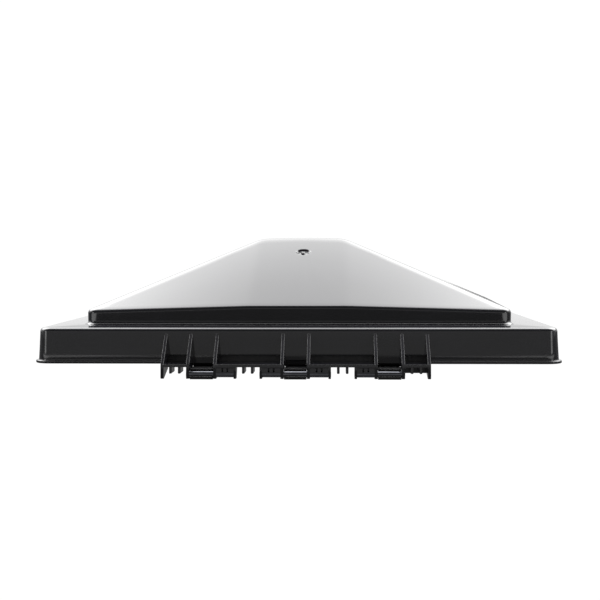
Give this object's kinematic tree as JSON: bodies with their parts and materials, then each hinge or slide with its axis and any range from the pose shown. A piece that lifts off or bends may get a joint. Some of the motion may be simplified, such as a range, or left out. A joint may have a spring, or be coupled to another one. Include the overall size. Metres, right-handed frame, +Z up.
{
  "type": "roof vent cover",
  "caption": "Hinged pyramid-shaped caravan roof vent lid on a stepped rim, with steel hinge pins in moulded ribs, a hooked hinge rail, a foam seal and a sliding lift shoe in a track.",
  "frame": {"origin": "middle of the row of screw holes, on the hinge rail's mounting face", "axes": "+Y from the hinge towards the lid's free edge, square to the rail's mounting face; +Z up, out of the roof; +X to the right for someone who looks at the hinge side"},
  "size_m": [0.4, 0.4181, 0.1068],
  "materials": {
    "lid_plastic": "glossy moulded black polypropylene",
    "pin_steel": "drawn steel rod, blackened and oiled",
    "seal_foam": "closed-cell black foam strip",
    "rail_coating": "black powder-coated steel strip",
    "hook_plastic": "matt black glass-filled nylon",
    "rivet_aluminium": "plain aluminium rivet",
    "track_zinc": "rolled zinc-plated sheet steel",
    "screw_zinc": "zinc-plated screw",
    "shoe_nylon": "natural nylon",
    "bush_brass": "turned brass bush"
  },
  "bodies": {
    "hinge_rail": {"hinge_rail": "rail_coating", "hook_left": "hook_plastic", "hook_middle": "hook_plastic", "hook_right": "hook_plastic", "hook_rivets": "rivet_aluminium"},
    "lid": {"lid_dome": "lid_plastic", "lid_rim": "lid_plastic", "hinge_pin_left": "pin_steel", "hinge_pin_middle": "pin_steel", "hinge_pin_right": "pin_steel", "seal_front": "seal_foam", "seal_rear": "seal_foam", "seal_left": "seal_foam", "seal_right": "seal_foam", "lift_track": "track_zinc", "track_screws": "screw_zinc", "track_stop_front": "hook_plastic", "track_stop_rear": "hook_plastic"},
    "shoe": {"lift_shoe": "shoe_nylon", "shoe_bush": "bush_brass"}
  },
  "joints": [
    {"name": "lid_hinge", "type": "hinge", "parent": "hinge_rail", "child": "lid", "pos_m": [0, -0.0245, -0.0139], "axis": [1, 0, 0], "range_deg": [0, 85]},
    {"name": "shoe_slide", "type": "slide", "parent": "lid", "child": "shoe", "axis": [0, 1, 0], "range_m": [0, 0.109]}
  ]
}
